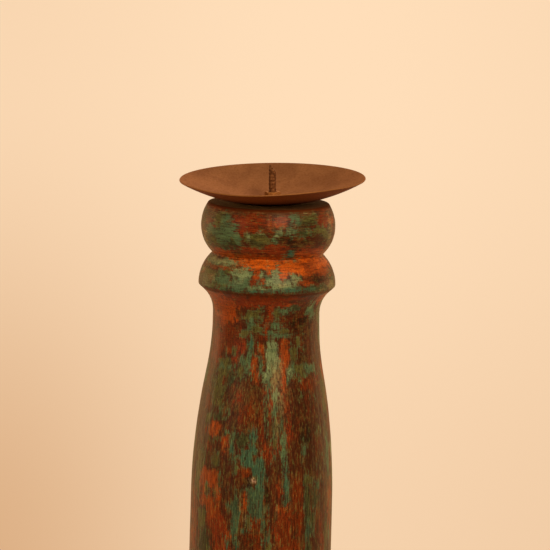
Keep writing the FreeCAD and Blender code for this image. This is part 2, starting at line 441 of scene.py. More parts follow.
def painted_wood():
    """Four worn layers: stained wood, rust red, green, and wax with painted highlights, each above the wood
    with its own ragged edge.
    """
    shader = Shader("painted_wood")
    head = shader.attribute("turned_share")

    def grain(across, fine, detail, place):
        """Streaks that run down the shaft and round the turned parts."""
        shift = (place, place * 0.7, 0)
        upright = shader.noise(shader.position(1.0, across, shift), fine, detail, 0.62)
        turned = shader.noise(shader.position(across ** 0.82, 1.0, shift), fine, detail, 0.62)
        return shader.blend(head, upright, turned)

    def ragged(place, streak_share):
        streak = grain(0.09, 1.1, 5.0, place)
        spots = shader.noise(shader.position(1, 1, (place, 3, 7)), 0.6, 5.0, 0.72)
        return shader.blend(streak_share, spots, streak) - 0.5

    def shaded(color, value):
        """The colour times a grey value."""
        grey = shader.add("ShaderNodeCombineColor", {0: value, 1: value, 2: value})
        return shader.mix(1.0, color, grey, "MULTIPLY")

    broad = grain(0.10, 0.55, 4.0, 0)
    thin = grain(0.07, 1.9, 3.0, 31)
    hair = grain(0.045, 2.0, 3.0, 67)
    dry = grain(0.16, 1.5, 4.0, 53)
    blotch = shader.noise(shader.position(), 0.2, 6.0, 0.68, 0.5)
    speck = shader.noise(shader.position(), 1.5, 4.0, 0.7)

    # The layers, from the bare wood up
    color = shader.attribute("wood_tint", "Color")
    warm = shader.ramp(broad + blotch * 0.6, 0.74, 0.94)
    color = shader.mix(warm * 0.42, color, RUST["red"])
    faded = shader.ramp(blotch - thin * 0.5, 0.24, 0.4)
    color = shader.mix(faded * 0.4, color, GREEN["olive"])
    shade = shader.ramp(shader.blend(0.5, broad, thin), 0.36, 0.64, 0.62, 1.25)
    masks = {}
    for layer, place, wander, soft, cover in (
        ("rust", 11, 14.0, 1.5, 1.0), ("green", 23, 18.0, 1.3, 0.95), ("wax_and_glint", 41, 17.0, 1.8, 0.5)
    ):
        pushed = shader.attribute(layer + "_edge") + ragged(place, 0.62) * wander
        masks[layer] = shader.ramp(pushed, -soft, soft) * cover
        color = shader.mix(masks[layer], color, shaded(shader.attribute(layer + "_tint", "Color"), shade))

    # Wear over all of them: brushed dust, streaks and scratches; then painted shade with dirt
    brushed = shader.ramp(shader.blend(0.55, ragged(89, 0.5), dry - 0.5), 0.02, 0.12)
    color = shader.mix(brushed * 0.5, color, tone(92, 98, 44))
    on_shaft = shader.ramp(dry, 0.34, 0.66, 0.7, 1.22)
    on_head = shader.ramp(dry, 0.34, 0.66, 0.86, 1.14)
    color = shaded(color, shader.blend(head, on_shaft, on_head))
    scratches = shader.ramp(shader.blend(0.6, speck, hair), 0.40, 0.5, 0.85, 0.0)
    color = shader.mix(scratches, color, WOOD["dark"])
    dusty = shader.ramp(shader.blend(0.7, speck, hair), 0.56, 0.68, 0.0, 0.22)
    color = shader.mix(dusty, color, tone(124, 122, 58))
    # Painted shade with dirt: the wood turns darker and fully rough, and loses its coat, under the pan, under
    # the collar's lip and in the folds
    shade_and_dirt = shader.attribute("shade_and_dirt_share")
    color = shader.mix(shade_and_dirt, color, tone(92, 36, 9))
    rough = shader.blend(shade_and_dirt, shader.ramp(speck, 0.3, 0.7, 0.42, 0.64), 1.0)
    coat = shader.blend(shade_and_dirt, 0.1, 0.0)
    bumps = shader.relief(hair * 0.5 + speck * 0.4 + masks["green"] * 0.3, 0.6, 0.3)
    return shader.end(shader.surface(color, rough, bumps, 0.0, 0.15, tone(255, 192, 116), 0.16, coat))


def column_outline():
    cove_reach = collar_radius - neck_radius
    bend = (cove_reach ** 2 + cove_height ** 2 - cove_slope ** 2) / (cove_height + cove_slope) / 2
    turn = math.atan2(cove_reach, cove_height - bend)
    cove_end = (neck_radius + bend * math.sin(turn), neck_top + bend * (1 + math.cos(turn)))
    return np.vstack([
        straight((0, WOOD_TOP), (top_radius - top_edge_round / 2, WOOD_TOP)),
        swell((bun_radius, bun_middle), (top_radius, WOOD_TOP))[::-1],
        swell((bun_radius, bun_middle), (crease_radius, crease)),
        swell((collar_radius, lip_top), (crease_radius, crease))[::-1],
        straight((collar_radius, lip_top), (collar_radius, lip_bottom), cove_end),
        swell((neck_radius, neck_top), cove_end)[::-1],
        wave((neck_radius, neck_bottom), (belly_radius, belly_top), neck_sweep_share),
        wave((belly_radius, belly_bottom), (ankle_radius, ankle_top), 1 - ankle_sweep_share),
        roll((ankle_radius, ankle_bottom), (instep_radius, ring_bottom), ring_radius),
        swell((instep_radius, instep_bottom), (flange_radius, flange_top)),
        straight(
            (flange_radius, shoulder), (tenon_radius, shoulder), (tenon_radius, tenon_bottom + tenon_chamfer),
            (tenon_radius - tenon_chamfer, tenon_bottom), (0, tenon_bottom)
        ),
    ])


def column_relief(angle, radius, height):
    """Hand-turned unevenness: a slow wander, sanding flats, raised grain on the shaft, a knot and a crack."""
    shaft = fade(height, neck_top, neck_top - 12)
    change = 0.16 * ripple(1, angle, height, 5, 70)
    change += 0.07 * ripple(2, angle, height, 22, 9)
    change += shaft * 0.09 * ripple(3, angle, height, 150, 30)
    change += (1 - shaft) * 0.05 * ripple(4, angle, height, 12, 1.1)
    change -= 0.7 * bump_at(angle, height, radius, -12.5, WOOD_TOP - 155.8, 3.4, 2.6)
    change += 0.35 * bump_at(angle, height, radius, -7.6, WOOD_TOP - 153.8, 1.6, 1.3)
    change -= 0.1 * bump_at(angle, height, radius, 1.5, WOOD_TOP - 8.5, 0.8, 7.5)
    return change * fade(radius, 20, 28)


# Paint: strokes put on in this order, each row in one colour. A stroke is its middle's angle (degrees)
# and depth below the wood's top (mm), half its width (degrees), half its height (mm), and how solid it
# is in per cent, where it isn't fully solid.
HEAD_STROKES = (
    ("red", (-18, 5.5, 17, 4.2, 95), (-22, 11.5, 5.5, 3, 95), (-13, 10, 7, 3.2, 90), (-10, 53, 36, 3.4, 90),
     (25, 52.5, 22, 3.4, 90)),
    ("rust", (10, 6, 9, 4.5, 75), (2, 7, 3, 5, 90), (70, 52, 16, 4, 90)),
    ("brown", (-50, 2, 36, 2.6), (30, 2, 44, 2.4)),
    ("green", (27, 5.6, 6.5, 3.4, 90), (22, 12, 7, 2.6)),
    # Painted glint on the bun
    ("bone", (24, 8.6, 0.9, 0.5)),
    # Tan at -66 degrees is a painted edge highlight
    ("tan", (-66, 4, 9, 2, 70), (2, 6, 1.4, 4, 60)),
    ("brown", (-60, 6, 14, 4)),
    ("olive", (-43, 6.5, 9, 4.2), (63, 17, 7, 3.4, 80)),
    ("green", (-40, 7, 6, 3.6), (-37, 10.5, 4, 2.6)),
    ("maroon", (38, 52.4, 15, 2, 90)),
    ("red", (57, 7, 14, 3.2, 95)),
    ("olive", (-46, 16.5, 20, 6.8), (39, 5.2, 8, 3.8, 95)),
    ("moss", (37, 7.4, 5, 1.2, 90), (36, 12.8, 9, 2.2, 95)),
    ("rust", (72, 7.5, 9, 3, 90), (61, 1.6, 14, 1.3, 90)),
    # Tan at 41 degrees on the top edge is a painted highlight
    ("tan", (41, 2, 7, 1.2, 80), (-57, 4.4, 9, 1.6, 80)),
    ("red", (-60, 9.6, 9, 2, 90)),
    ("rust", (-53, 1.7, 20, 1.5, 90)),
    ("green", (-33, 13.5, 6.5, 4)),
    ("moss", (-36, 20.5, 13, 3.4)),
    ("green", (-27, 18, 4, 2.5, 90), (-44, 19, 12, 2.4, 90)),
    ("olive", (-8, 17, 14, 4, 80), (52, 13, 13, 3, 95)),
    ("pale", (-16.5, 15.5, 2, 2.4, 90), (-7, 12.8, 3, 1.8, 70), (21, 12, 4, 1.6, 90)),
    ("red", (-12, 23.5, 20, 3.2, 95), (-29, 7.4, 4, 2.6, 95)),
    ("maroon", (34, 9.1, 12, 1.1, 95)),
    ("dark", (31, 18.6, 15, 4.2)),
    ("moss", (-10, 18.3, 7, 1.8, 85), (31, 12.7, 10, 2.1)),
    ("green", (6.5, 16.3, 3, 2.3, 95), (38, 12.2, 4, 1.2, 90)),
    ("red", (8, 23, 12, 4), (45, 25, 28, 3)),
    ("olive", (-5, 14.6, 6, 2.4, 70)),
    ("rust", (52, 26, 30, 2.6), (-52, 26, 18, 2)),
    # Tan at 69 and -68 degrees is painted edge highlight, and at -46 degrees along the top edge painted
    # highlight
    ("tan", (69, 14, 4, 10, 80), (-46, 2.2, 24, 0.7, 80), (-68, 24.4, 6, 2, 90)),
    ("orange", (48, 27.9, 34, 1.3), (15, 38.4, 2.6, 1.8)),
    ("red", (30, 27.6, 16, 1.4)),
    ("teal", (21, 24, 2.2, 1.6)),
    ("rust", (-12, 27.5, 26, 1.4)),
    ("teal", (22, 26.2, 4.6, 2.3)),
    ("olive", (50, 12.6, 11, 2.8)),
    ("moss", (23, 28.3, 4.2, 0.7)),
    ("orange", (-7, 29.4, 33, 1.5)),
    ("rust", (45, 29.6, 38, 1.3)),
    ("orange", (25, 31.5, 58, 2.6), (-16, 31.5, 18, 2.6)),
    ("green", (-57, 32, 23, 1.7)),
    ("dark", (27, 19.2, 10, 3.8)),
    ("maroon", (-58, 35.4, 25, 1.2), (40, 18.4, 13, 4.2)),
    ("jade", (21.4, 25.3, 3.9, 1.8)),
    ("dark", (22, 27.7, 4, 0.8), (31, 18.4, 7, 3)),
    ("olive", (-56, 41, 27, 4.4, 95)),
    ("green", (-42, 40.2, 10, 3.6, 95), (-21, 39, 9.5, 5.8)),
    ("pale", (9, 12.5, 4.4, 2.8, 80), (-22, 37, 7, 3.4), (-56, 31.6, 24, 1.3), (-45, 40, 5, 1.8, 75)),
    # Tan at -71 and -60 degrees is painted edge highlight
    ("tan", (-71, 20, 6, 8, 85), (-60, 31.4, 12, 1.4), (10, 10.4, 3, 1.6, 80)),
    ("green", (-19, 43, 15, 3.4), (-48, 15, 15, 4.6)),
    ("rust", (44, 33.5, 20, 3.4), (-9.5, 38, 4, 4.2, 95), (-3.5, 40.4, 2.6, 2.2, 90), (-28, 33.2, 7, 1, 95)),
    ("orange", (70, 32.4, 16, 2.8), (14, 35.3, 6.2, 4), (28, 34.6, 9, 3), (-56, 28.2, 22, 0.9),
     (33, 28.2, 7, 1.3), (52, 28.6, 12, 0.9)),
    ("olive", (-58, 19.5, 9, 3.6, 90), (-33, 35.6, 6, 2.2), (-51, 7, 6, 2.6)),
    ("pale", (-9, 44.6, 10, 1.4, 90), (9, 34, 1.8, 2.4), (25, 39.4, 6.5, 2.8, 80), (-24, 36.4, 9, 3.4),
     (-25, 41, 6, 2, 75), (-4.6, 37, 1.8, 2.6)),
    ("rust", (62, 36.5, 14, 2.6, 90), (-54, 34.7, 17, 0.8)),
    ("tan", (25, 39.4, 5, 2, 60), (-51, 33.6, 14, 0.8, 90), (-31, 31.4, 4, 1.2, 90), (-25, 34.8, 4, 1.5, 90),
     (-54, 7.6, 4, 1.6, 70)),
    ("red", (-10, 41, 4.4, 1.8, 95)),
    ("olive", (72, 38, 10, 2, 60)),
    ("brown", (-55, 41, 6, 2.6, 60)),
    ("green", (0.5, 39, 2.4, 3.2)),
    ("pale", (14, 43, 12, 3), (5, 41, 6, 2.6, 95), (-39, 31.6, 5, 1.4)),
    ("orange", (1.5, 34.6, 2.2, 2.2)),
    ("rust", (34, 41.3, 9, 2.2, 90)),
    ("brown", (40, 38.4, 8, 1.4, 90)),
    ("maroon", (47, 41, 8, 2, 90), (63, 41, 11, 1.9, 90)),
    ("pale", (8, 37.6, 4.2, 4)),
    ("tan", (14, 42, 6, 2, 80), (-53, 40, 5, 3, 60)),
    ("moss", (13, 41, 1, 1, 90), (45, 44.5, 16, 1.4)),
    ("dark", (13, 15.8, 4.5, 1.5, 95), (49, 39.4, 8, 2.4)),
    ("pale", (17.5, 40.6, 3, 1.8)),
    ("teal", (24, 45.2, 7, 1.4)),
    ("green", (0, 33, 0.9, 1.4, 90), (0, 46, 60, 0.9, 95)),
    ("rust", (-60, 53, 22, 5, 95)),
    ("ember", (-42, 52.6, 12, 2.4, 90)),
    # Painted shade with dirt: a dark ring all round in the recess under the collar's lip
    ("dark", (0, 48.4, 240, 0.7)),
    ("moss", (50, 46, 26, 0.9, 90)),
    ("teal", (28, 45.5, 16, 1), (-6, 46, 22, 0.9)),
    # Painted edge highlights at the right silhouette
    ("tan", (68, 44.5, 8, 3, 90), (63, 46, 11, 1, 90)),
)

SHAFT_STROKES = (
    ("rust", (-52, 60, 20, 9, 95), (-53, 67, 7, 3.4, 90), (24, 54.6, 4, 1.4, 90), (-2.4, 85, 1.6, 5, 95),
     (19, 99, 3.8, 10), (20.5, 112, 3.2, 9, 80), (-48, 126.5, 8, 4.6), (-41.5, 126, 4, 1.8),
     (-33.3, 134.6, 3.9, 4.6), (-55, 160, 6.6, 4.6, 95), (-38.6, 162, 4.4, 8), (-49, 169, 11, 4.4)),
    ("red", (-62, 80, 16, 12, 70), (4, 58, 3.6, 8), (-31.5, 87, 5.5, 2.6, 90), (23, 127, 3.4, 12, 90),
     (-62, 112, 6, 5, 70), (3.4, 138, 4.4, 6, 90), (12, 134, 3.4, 6, 75), (-33, 131, 3, 1.2, 80),
     (-51, 137, 4, 3.4, 70), (-42, 175.6, 10, 6.4), (-34.6, 194, 6.4, 9, 95), (57, 183, 3.4, 8, 80)),
    ("olive", (-6, 57.5, 4.5, 3.6, 75), (-14, 61.5, 9, 2.8, 95), (-21, 62.6, 6, 1.6, 90), (11, 59, 4.5, 2.4),
     (13, 62.4, 5, 1, 80), (32, 82, 4.6, 6, 80), (-47, 110, 8, 9, 75), (-42.5, 132.4, 3.4, 2.2, 90),
     (-62, 146, 6, 9, 80), (-42, 144, 4.6, 5, 80), (43, 154.6, 6, 3.2, 80), (-57, 179, 6.6, 8, 80),
     (66, 190, 3.4, 15, 80), (-52, 108, 4, 7, 80)),
    ("green", (-14.5, 66.6, 4.6, 3.6), (22, 58, 9, 1.6), (54, 57.8, 7, 4.8), (59, 62, 6, 3, 90),
     (-17.5, 92, 3.4, 4.6, 95), (-7, 80, 1.4, 7, 85), (7.6, 132.6, 1.5, 5.6, 90), (16.4, 124, 2, 5, 85),
     (17.6, 132, 2.2, 6, 95), (18.6, 141, 2.6, 6.6), (-31.5, 128.4, 4, 1.6, 90), (-26.6, 133, 2.4, 5.4, 95)),
    ("teal", (19.6, 150, 2.4, 8), (20, 159, 2.5, 7.4), (-26, 139, 2.8, 4, 85), (-12.5, 142, 8.6, 3.8),
     (-4, 147, 6.6, 6.4), (0, 152, 4.6, 6), (-2, 159, 5.4, 5), (-14.6, 184, 2.6, 3, 80)),
    ("rust", (-4, 79.5, 3.4, 3.6), (-8, 96, 3, 3.6), (-50, 155, 12, 5.4), (-39, 178, 4, 4, 70),
     (17.6, 170.4, 5, 3), (75, 168, 8, 20, 70), (-4, 77.4, 3.8, 3.4)),
    ("moss", (33, 56.8, 6, 2.2, 95), (-23, 104, 3.4, 5, 90), (-45, 119.8, 9, 2.2, 90), (41, 164, 3.4, 9, 90),
     (-53, 194, 8, 9, 80)),
    ("deep", (-4.6, 166, 7, 7.4), (2, 179, 2.6, 5, 95), (4.6, 187, 3.2, 6, 85), (54, 158, 4.4, 4, 80),
     (-28, 167, 2, 4.6, 85), (-20, 190.6, 2.8, 5, 85)),
    ("olive", (-8, 69, 7, 3.4, 80), (-57, 122, 6, 4, 80), (6.6, 197, 2.8, 9, 85), (-51, 163, 2.2, 3.2),
     (-41.4, 163.4, 2, 3), (-65.6, 158, 5.4, 10, 85), (-36.6, 157, 2, 4.4, 85)),
    ("red", (0.5, 67, 2.6, 4.4, 95), (-35.5, 183, 8.6, 6), (60, 200, 5, 12, 90), (-25, 199, 4, 8, 80)),
    ("maroon", (29, 141, 6, 12), (12, 148, 4.6, 7, 90), (-46, 164.4, 2.2, 2.4), (51.5, 198, 4, 12, 90)),
    ("dark", (40, 64.6, 18, 5.2), (46, 71, 10, 3, 90), (40, 85.5, 3, 4.6), (-13.4, 155.6, 7.6, 4),
     (30, 122, 6, 4.6), (4.4, 165, 2.6, 16)),
    ("ember", (-35, 75, 12, 8, 70), (-13.5, 149.6, 4.6, 2.6), (-6.4, 179.6, 5.6, 5), (-7, 191, 7.6, 9, 80)),
    ("rust", (-42, 83, 6.5, 2.6, 70), (-12.4, 149, 2, 1.6, 90), (-13.2, 167.6, 2.8, 4.6),
     (-71, 180, 8, 25, 60), (-6, 173.8, 1.2, 3.2), (-45, 172.4, 8, 6, 95), (-45.4, 163, 1.6, 6, 90)),
    ("olive", (-22.5, 72, 6.5, 1.6), (-45, 95, 11, 9, 90), (44.5, 80, 1.6, 5, 85), (36, 145, 1.8, 5, 80),
     (-10.4, 179, 2.6, 5, 85), (37, 77, 4, 3, 90)),
    # Painted highlights: the knot's shine and a small glint
    ("bone", (-8, 154, 2.4, 1.3), (-14, 176.4, 1.2, 1.2)),
    ("deep", (-14, 159.6, 6.6, 1.4, 90), (-21, 181, 3.4, 7), (-3.6, 173, 4.2, 5)),
    ("moss", (-34, 96, 7, 5, 70), (5, 175, 2.6, 8, 70), (50, 165, 6, 8, 70)),
    ("brown", (-66, 96, 10, 9, 80), (-18, 110, 14, 10, 90), (28, 158, 6, 9), (-41, 99, 4, 3.4, 90),
     (52, 178, 4, 10, 90), (-30, 104, 5, 5, 80)),
    ("red", (-27, 79.6, 7, 4.2, 95), (-24, 108, 4, 3, 90), (14, 158, 3.4, 7, 80), (19, 181, 8, 11)),
    ("ember", (-14, 118, 7, 6, 85), (-2.6, 122, 3.2, 8, 95), (30, 160, 4, 7, 90), (21, 197, 10, 12),
     (31, 173, 5.4, 12, 95), (-43, 71.4, 13, 4.4, 95)),
    # Tan at 56.6 degrees is a painted glint
    ("tan", (-17, 166, 0.9, 4, 80), (-13.4, 172.6, 1, 2.6, 80), (56.6, 152, 0.8, 1.6, 90),
     (12.6, 173, 0.8, 3, 80), (16.6, 114, 1.8, 6, 85)),
    ("maroon", (28, 61.5, 7, 2, 95), (-20, 154, 4.6, 5, 90), (-9, 195, 6, 9, 80), (14, 176, 2.4, 8, 80)),
    ("teal", (-14.5, 78, 3.4, 4.6), (-9, 129.6, 4.4, 6, 80), (19, 159, 2.4, 6)),
    ("green", (9, 66.6, 6, 1.8), (-24.5, 88, 4, 4.4, 90), (-16, 85, 3.2, 6, 95), (37, 137, 2.2, 3.8),
     (-50, 92, 5, 2.6, 90), (-36, 91.6, 6, 1.4, 90)),
    ("olive", (20, 69.4, 11, 3, 75), (-34, 82, 3, 2.4, 90), (-58, 100, 6, 8, 60), (-12, 92, 2, 7, 70),
     (-33, 116, 3, 9, 70), (-22, 148, 3, 4, 70), (-25, 95, 5, 5, 80)),
    ("rust", (-10.6, 88.5, 2.8, 5), (-26.6, 186, 4.4, 4.4, 75), (-28, 73, 4, 2, 70)),
    ("red", (19, 200, 4, 8, 80), (-62, 66, 8, 3, 90), (-38, 187, 8, 9, 95)),
    ("moss", (-17, 132.6, 6, 4, 85), (41, 172, 3.6, 10, 95)),
    ("deep", (-21, 171.6, 3.4, 6.4), (42, 184.6, 3, 8, 95)),
    ("moss", (43, 197, 3.4, 9, 85), (46, 179, 3, 8, 90)),
    ("brown", (-17, 166.6, 1.8, 4, 90), (-11, 123.4, 4, 3, 85)),
    ("dark", (-20, 86, 1.4, 4.4, 95)),
    ("orange", (-48, 125.4, 5, 2.8, 60)),
    ("teal", (-11, 138, 8.4, 3.8)),
    ("ember", (18, 180, 5, 6, 90)),
    ("green", (18, 72, 11, 1.5, 95)),
    ("pale", (53, 56.5, 4.5, 3, 80), (6, 82.5, 6.2, 7.6)),
    ("green", (9, 80, 6, 4.4, 85), (4.5, 93, 4.6, 6), (10, 71, 8, 2, 90)),
    ("rust", (20, 85.6, 6.2, 8.6), (18, 77.6, 5, 3.6, 95)),
    ("pale", (5, 90, 4, 5, 90), (8, 78, 5, 3.6, 90)),
    ("tan", (13, 93, 4.6, 8, 90), (17, 77, 4, 2.4, 50)),
    ("pale", (11.3, 106.6, 3, 3.6), (8.6, 88, 5, 6)),
    ("red", (3, 103, 3.2, 3.4, 95)),
    ("green", (29, 91.6, 5.5, 4)),
    ("olive", (38, 92, 7, 4, 90), (34, 97.6, 8, 2.2, 85), (2.6, 116, 1.8, 9, 90)),
    ("ember", (47, 100.5, 15, 4.2, 90)),
    ("red", (47, 108, 4, 5, 80), (6, 112, 2.6, 8, 90)),
    ("green", (53, 92, 12, 3.2, 85), (51, 108, 4, 2.4, 80), (10.8, 114, 2.8, 3.4, 95)),
    ("maroon", (30, 103, 8, 5), (-29, 158, 6, 9, 90)),
    ("pale", (3, 95, 4.6, 4.6), (25.4, 94, 3.6, 4.4, 95)),
    ("green", (4, 100, 3.4, 3), (-3.4, 90, 1.8, 4.4), (3.6, 103, 1.8, 4, 90)),
    ("tan", (10.6, 96, 4.4, 7), (15.6, 108, 2.6, 8, 80), (11, 106, 3, 4.6), (24, 101, 2.6, 4, 50)),
    ("pale", (11, 107, 3, 4)),
    ("olive", (36, 108, 4.4, 3, 70), (11.5, 122, 3.4, 8, 70)),
    ("tan", (13, 126, 4, 8, 55)),
    ("maroon", (44, 118, 12, 12)),
    ("dark", (40, 128, 8, 6, 80)),
    ("maroon", (55, 135, 9, 9, 95), (31, 112, 5, 12)),
    ("olive", (56, 127, 4, 4, 80), (62, 146, 4, 5, 60), (52, 147, 4, 5, 50), (10, 134, 2.8, 6, 90)),
)


# How often each colour comes up among the strokes that the photograph doesn't show
USUAL = {
    "red": 6, "rust": 3, "ember": 4, "orange": 0.4, "green": 4, "teal": 1.5, "deep": 2, "olive": 5, "moss": 3,
    "pale": 0.7, "maroon": 5, "dark": 3, "tan": 0.7
}


def one_by_one(table):
    """A table's strokes, each led by its colour and ended by how solid it is, from 0 to 1."""
    strokes = [(name, *place) for name, *places in table for place in places]
    return [(*stroke[:5], stroke[5] / 100 if len(stroke) > 5 else 1) for stroke in strokes]


def stray_strokes(seed, count, places, half_turns, half_depths):
    """Strokes for the sides that the photograph doesn't show, like the front's in colour and size."""
    chance = np.random.default_rng(seed)
    names, odds = list(USUAL), np.array(list(USUAL.values()))
    strokes = []
    for _ in range(count):
        name = names[chance.choice(len(names), p=odds / odds.sum())]
        angle, depth = chance.uniform(-180, 180), chance.uniform(*places)
        half_turn, half_depth = chance.uniform(*half_turns), chance.uniform(*half_depths)
        strokes.append((name, angle, depth, half_turn, half_depth, chance.uniform(0.75, 1.0)))
    return strokes


def unseen(stroke, front=70, bottom=204):
    """True where the photograph doesn't show the stroke's place."""
    return abs(stroke[1]) > front or stroke[2] > bottom


def mirrored(strokes):
    """The front's strokes once more on the back, left and right exchanged."""
    return [(name, 180 - angle, *rest) for name, angle, *rest in strokes if name != "bone"]


def paint(piece, angle, radius, depth, strokes):
    """Lays the strokes on a turned piece as edge distances (mm) and tints: an edge and a tint for each layer
    above the wood, and a tint for the wood.
    """
    order = list(LAYERS)
    farthest, deepest = -3.5, 2.2
    squareness = 2.6
    height = WOOD_TOP - depth
    wander = 1.6 * ripple(71, angle, height, 60, 5) + 0.8 * ripple(72, angle, height, 150, 2.2)
    slide = 1.8 * ripple(73, angle, height, 60, 5) + 0.9 * ripple(74, angle, height, 150, 2.2)
    worn = 0.3 * ripple(75, angle, height, 90, 4) + 0.25 * ripple(76, angle, height, 260, 1.8)
    edges = {layer: np.full(len(angle), farthest) for layer in order}
    starts = {"wood": WOOD["maroon"], "rust": RUST["red"], "green": GREEN["green"], "wax_and_glint": WAX_AND_GLINT["tan"]}
    tints = {layer: np.tile(starts[layer], (len(angle), 1)) for layer in order}
    for name, at_angle, at_depth, half_turn, half_depth, solid in strokes:
        layer = next(key for key in order if name in LAYERS[key])
        turn = (angle - at_angle + 180) % 360 - 180
        near = (np.abs(turn) < 2.5 * half_turn + 8) & (np.abs(depth - at_depth) < 2.5 * half_depth + 5)
        if not near.any():
            continue
        across = (turn[near] + wander[near] * min(1.0, half_turn / 5)) / half_turn
        along = (depth[near] - at_depth + slide[near] * min(1.0, half_depth / 4)) / half_depth
        out = (np.abs(across) ** squareness + np.abs(along) ** squareness) ** (1 / squareness) + worn[near]
        size = min(math.radians(half_turn) * radius[near].mean(), half_depth)
        edge = np.clip((1 - out) * size * 1.3, farthest, deepest) + (solid - 1) * 5
        for above in order[order.index(layer) + 1:]:
            edges[above][near] = np.minimum(edges[above][near], -edge)
        edges[layer][near] = np.maximum(edges[layer][near], edge)
        cover = fade(edge, -0.6, 0.8)[:, None]
        tints[layer][near] += (np.array(LAYERS[layer][name]) - tints[layer][near]) * cover
    spare = len(piece.data.vertices) - len(angle)
    for layer in order:
        if layer != "wood":
            set_number(piece, layer + "_edge", edges[layer], farthest)
        colors = np.vstack([tints[layer], np.tile(starts[layer], (spare, 1))])
        tint = piece.data.attributes.new(layer + "_tint", "FLOAT_COLOR", "POINT")
        tint.data.foreach_set("color", colors.ravel())


def set_number(piece, name, values, elsewhere=0.0):
    """Keeps one number for each turned vertex, and the same one for the middles of the flat ends."""
    mesh = piece.data
    values = np.concatenate([values, np.full(len(mesh.vertices) - len(values), elsewhere)])
    mesh.attributes.new(name, "FLOAT", "POINT").data.foreach_set("value", values)


def dress(piece, node, material):
    piece.data.materials.clear()
    piece.data.materials.append(material)
    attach(piece, "root")
    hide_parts(node)


# Column
PAINTED = painted_wood()
column, at_angle, at_radius, at_height = turned_mesh(
    "turned_column", softened(column_outline(), 0.45, hidden_below=shoulder - 1), 400, column_relief
)
at_depth = WOOD_TOP - at_height
strays = stray_strokes(11, 130, (1, 50), (5, 20), (0.9, 4.2))
strays += stray_strokes(12, 620, (46, 340), (1.6, 9), (4, 20))
strays = [stroke for stroke in strays if unseen(stroke)]
head_strokes = one_by_one(HEAD_STROKES)
strokes = strays + mirrored(head_strokes) + head_strokes + one_by_one(SHAFT_STROKES)
paint(column, at_angle, at_radius, at_depth, strokes)
bun_share = 0.35 * fade(at_depth, 31, 27) + 0.1 * fade(at_depth, 50, 44) + 0.45 * fade(at_depth, 100, 65)
set_number(column, "turned_share", bun_share + 0.8 * fade(at_depth, 300, 312))
# Painted shadow of the pan on the wood's top; painted shade with dirt in the recess under the collar's lip
# and in the folds by the ring and the shoulder
under_lip = np.clip(1.25 - np.abs(at_depth - 48.2) / 1.15, 0, 1)
under_pan = fade(at_depth, 1.96, 0.56)
in_folds = peak(at_height, ring_bottom, 1.5) + fade(at_height, shoulder + 2, shoulder)
set_number(column, "shade_and_dirt_share", np.clip(0.5 * under_lip + 0.95 * under_pan + 0.6 * in_folds, 0, 0.9))
dress(column, "column", PAINTED)


# Foot
def foot_outline():
    return np.vstack([
        straight((socket_radius, shoulder - 0.4), (foot_land_radius, shoulder)),
        swell((foot_land_radius, foot_cove_top), (foot_step_radius, step_top)),
        straight((foot_step_radius, roll_top)),
        roll((foot_flat_radius, roll_top), (foot_flat_radius, cork_thickness), foot_radius),
        straight(
            (foot_hollow_radius, cork_thickness), (foot_hollow_radius, hollow_top),
            (counterbore_radius, hollow_top), (counterbore_radius, counterbore_top),
            (screw_hole_radius, counterbore_top), (screw_hole_radius, socket_floor),
            (socket_radius, socket_floor)
        ),
    ])


def foot_relief(angle, radius, height):
    change = 0.14 * ripple(21, angle, height, 7, 30) + 0.05 * ripple(22, angle, height, 40, 5)
    return change * fade(radius, 36, 40)


foot, foot_angle, foot_r, foot_z = turned_mesh(
    "turned_foot", softened(foot_outline(), 0.45, closed=True), 440, foot_relief, closed=True
)
foot_strokes = stray_strokes(31, 150, (WOOD_TOP - 42, WOOD_TOP), (4, 18), (1.2, 5))
paint(foot, foot_angle, foot_r, WOOD_TOP - foot_z, foot_strokes)
set_number(foot, "turned_share", np.full(len(foot_z), 0.9))
# Painted shade with dirt in the folds of the foot
foot_folds = peak(foot_z, roll_top, 1.6) + peak(foot_z, step_top, 1.2)
set_number(foot, "shade_and_dirt_share", np.clip(0.6 * foot_folds, 0, 0.7))
dress(foot, "foot", PAINTED)


# Pan, spike, nut and washer, made on their own axis and then set on the column
lean = Vector((-math.sin(math.radians(pan_lean_left)), -math.sin(math.radians(pan_lean_forward)), 0))
axis = Vector((lean.x, lean.y, math.sqrt(1 - lean.length_squared)))
pan_lift = pan_flat_radius * lean.length + pan_knuckle_radius * (1 - axis.z) + pan_seat_gap
PAN_PLACE = Matrix.Translation(Vector((pan_offset, 0, WOOD_TOP + pan_lift)) * MM)
PAN_PLACE = PAN_PLACE @ Vector((0, 0, 1)).rotation_difference(axis).to_matrix().to_4x4()


def sheet_line(depth):
    """The pan's upper or lower face, from the hole to the rim."""
    beyond = pan_bowl_radius - pan_knuckle_radius
    knuckle_turn = math.asin(pan_flat_radius / beyond)
    rim_turn = math.asin(pan_rim_radius / pan_bowl_radius)
    middle = pan_knuckle_radius + beyond * math.cos(knuckle_turn)
    near = np.linspace(0, knuckle_turn, 24)
    far = np.linspace(knuckle_turn, rim_turn, 48)
    small, large = pan_knuckle_radius - depth, pan_bowl_radius - depth
    return np.vstack([
        [[hole_radius, depth]],
        np.column_stack([pan_flat_radius + small * np.sin(near), pan_knuckle_radius - small * np.cos(near)]),
        np.column_stack([large * np.sin(far), middle - large * np.cos(far)]),
    ])


def pan_relief(angle, radius, height):
    """A hand-finished rim that isn't quite round."""
    return 0.25 * ripple(41, angle, height, 6, 40) * fade(radius, 20, 53) ** 2


pan_line = np.vstack([sheet_line(pan_thickness), sheet_line(0)[::-1]])
pan_line = softened(pan_line, 0.22, closed=True, coarse=1.0, fine=0.16)
pan, pan_angle, pan_r, _ = turned_mesh("spun_pan", pan_line, 360, pan_relief, closed=True)


